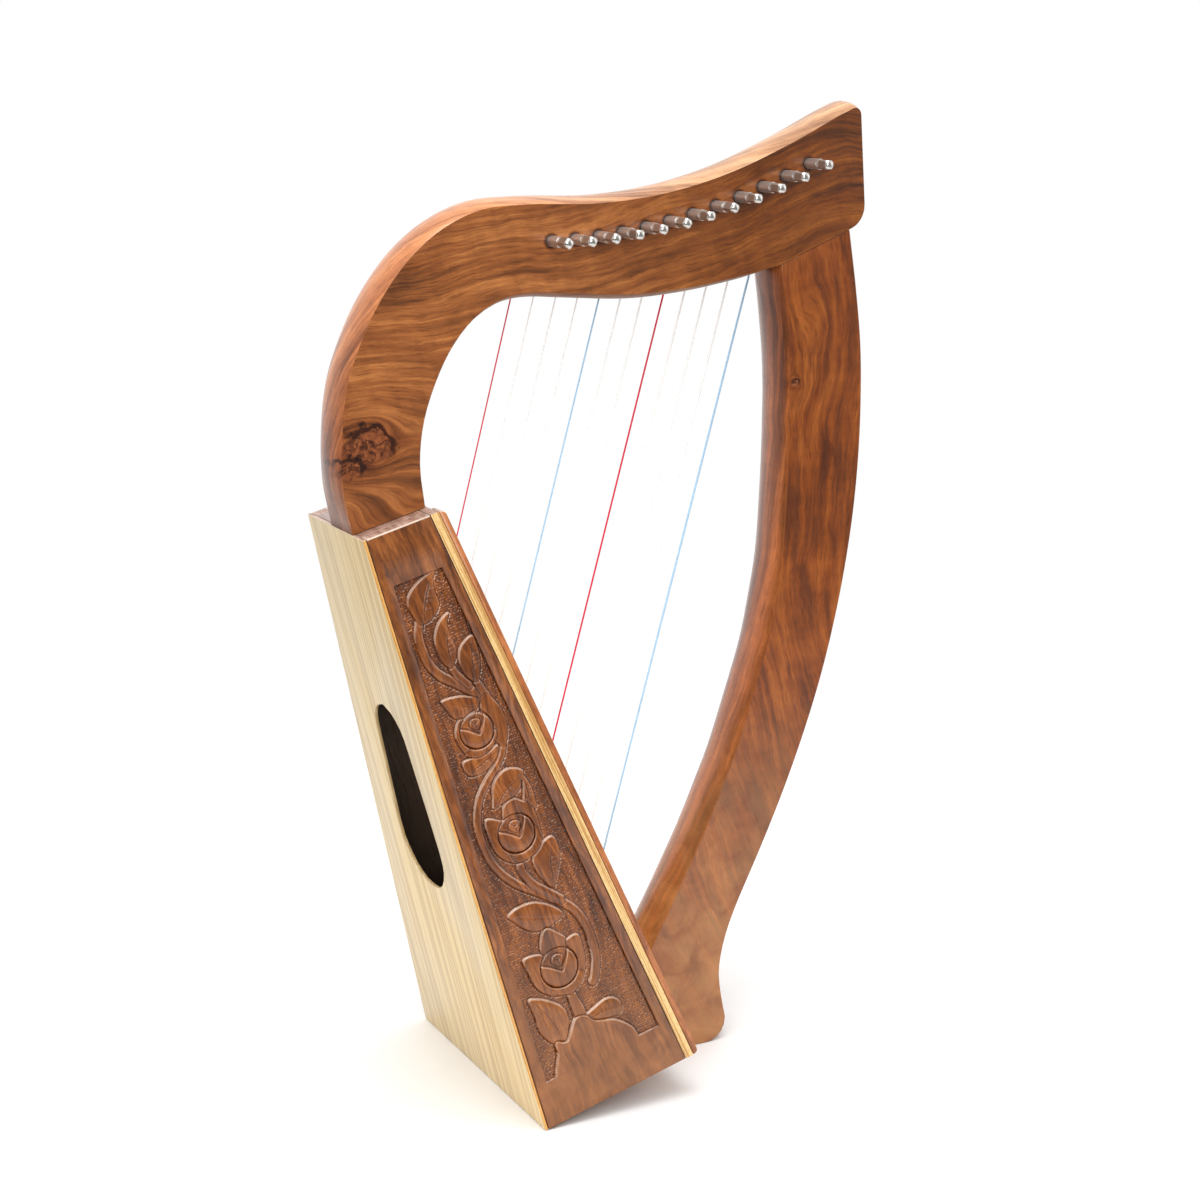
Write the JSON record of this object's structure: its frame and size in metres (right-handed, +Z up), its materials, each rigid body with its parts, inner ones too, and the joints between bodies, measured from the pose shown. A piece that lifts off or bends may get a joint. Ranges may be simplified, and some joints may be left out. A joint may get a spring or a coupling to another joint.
{
  "type": "lap harp",
  "caption": "Small rosewood lap harp with a carved soundbox, a curved neck and pillar, coloured nylon strings and turning square-headed tuning pins.",
  "frame": {"origin": "centre of the bounding box on the floor the harp stands on", "axes": "+X from the soundbox towards the pillar, +Y to the player's left, +Z up"},
  "size_m": [0.294, 0.15, 0.4936],
  "materials": {
    "rosewood": "gloss lacquer over dark figured rosewood",
    "ash": "satin pale wood with straight grain",
    "ply": "satin amber plywood",
    "nickel": "polished nickel plate",
    "brass": "polished",
    "red_nylon": "smooth",
    "blue_nylon": "smooth",
    "clear_nylon": "smooth"
  },
  "bodies": {
    "frame": {"back_panel": "ash", "bottom_board": "rosewood", "bridge_pin_01": "brass", "bridge_pin_02": "brass", "bridge_pin_03": "brass", "bridge_pin_04": "brass", "bridge_pin_05": "brass", "bridge_pin_06": "brass", "bridge_pin_07": "brass", "bridge_pin_08": "brass", "bridge_pin_09": "brass", "bridge_pin_10": "brass", "bridge_pin_11": "brass", "bridge_pin_12": "brass", "cheek_left": "rosewood", "cheek_right": "rosewood", "lower_block": "rosewood", "neck": "rosewood", "pillar": "rosewood", "soundboard": "ply", "string_01": "red_nylon", "string_02": "clear_nylon", "string_03": "clear_nylon", "string_04": "clear_nylon", "string_05": "blue_nylon", "string_06": "clear_nylon", "string_07": "clear_nylon", "string_08": "red_nylon", "string_09": "clear_nylon", "string_10": "clear_nylon", "string_11": "clear_nylon", "string_12": "blue_nylon", "string_rib": "rosewood", "top_block": "rosewood", "trim_left": "rosewood", "trim_right": "rosewood"},
    "tuning_pin_01": {"tuning_pin_01": "nickel", "winding_01": "red_nylon"},
    "tuning_pin_02": {"tuning_pin_02": "nickel", "winding_02": "clear_nylon"},
    "tuning_pin_03": {"tuning_pin_03": "nickel", "winding_03": "clear_nylon"},
    "tuning_pin_04": {"tuning_pin_04": "nickel", "winding_04": "clear_nylon"},
    "tuning_pin_05": {"tuning_pin_05": "nickel", "winding_05": "blue_nylon"},
    "tuning_pin_06": {"tuning_pin_06": "nickel", "winding_06": "clear_nylon"},
    "tuning_pin_07": {"tuning_pin_07": "nickel", "winding_07": "clear_nylon"},
    "tuning_pin_08": {"tuning_pin_08": "nickel", "winding_08": "red_nylon"},
    "tuning_pin_09": {"tuning_pin_09": "nickel", "winding_09": "clear_nylon"},
    "tuning_pin_10": {"tuning_pin_10": "nickel", "winding_10": "clear_nylon"},
    "tuning_pin_11": {"tuning_pin_11": "nickel", "winding_11": "clear_nylon"},
    "tuning_pin_12": {"tuning_pin_12": "nickel", "winding_12": "blue_nylon"}
  },
  "joints": [
    {"name": "tune_01", "type": "hinge", "parent": "frame", "child": "tuning_pin_01", "pos_m": [-0.03523, -0.00965, 0.42987], "axis": [0, 1, 0], "continuous": true},
    {"name": "tune_02", "type": "hinge", "parent": "frame", "child": "tuning_pin_02", "pos_m": [-0.0227, -0.00965, 0.43032], "axis": [0, 1, 0], "continuous": true},
    {"name": "tune_03", "type": "hinge", "parent": "frame", "child": "tuning_pin_03", "pos_m": [-0.01006, -0.00965, 0.43128], "axis": [0, 1, 0], "continuous": true},
    {"name": "tune_04", "type": "hinge", "parent": "frame", "child": "tuning_pin_04", "pos_m": [0.00269, -0.00965, 0.43276], "axis": [0, 1, 0], "continuous": true},
    {"name": "tune_05", "type": "hinge", "parent": "frame", "child": "tuning_pin_05", "pos_m": [0.01554, -0.00965, 0.43476], "axis": [0, 1, 0], "continuous": true},
    {"name": "tune_06", "type": "hinge", "parent": "frame", "child": "tuning_pin_06", "pos_m": [0.0285, -0.00965, 0.43728], "axis": [0, 1, 0], "continuous": true},
    {"name": "tune_07", "type": "hinge", "parent": "frame", "child": "tuning_pin_07", "pos_m": [0.04157, -0.00965, 0.44031], "axis": [0, 1, 0], "continuous": true},
    {"name": "tune_08", "type": "hinge", "parent": "frame", "child": "tuning_pin_08", "pos_m": [0.05474, -0.00965, 0.44387], "axis": [0, 1, 0], "continuous": true},
    {"name": "tune_09", "type": "hinge", "parent": "frame", "child": "tuning_pin_09", "pos_m": [0.06801, -0.00965, 0.44794], "axis": [0, 1, 0], "continuous": true},
    {"name": "tune_10", "type": "hinge", "parent": "frame", "child": "tuning_pin_10", "pos_m": [0.0814, -0.00965, 0.45253], "axis": [0, 1, 0], "continuous": true},
    {"name": "tune_11", "type": "hinge", "parent": "frame", "child": "tuning_pin_11", "pos_m": [0.09488, -0.00965, 0.45764], "axis": [0, 1, 0], "continuous": true},
    {"name": "tune_12", "type": "hinge", "parent": "frame", "child": "tuning_pin_12", "pos_m": [0.10848, -0.00965, 0.46327], "axis": [0, 1, 0], "continuous": true}
  ]
}
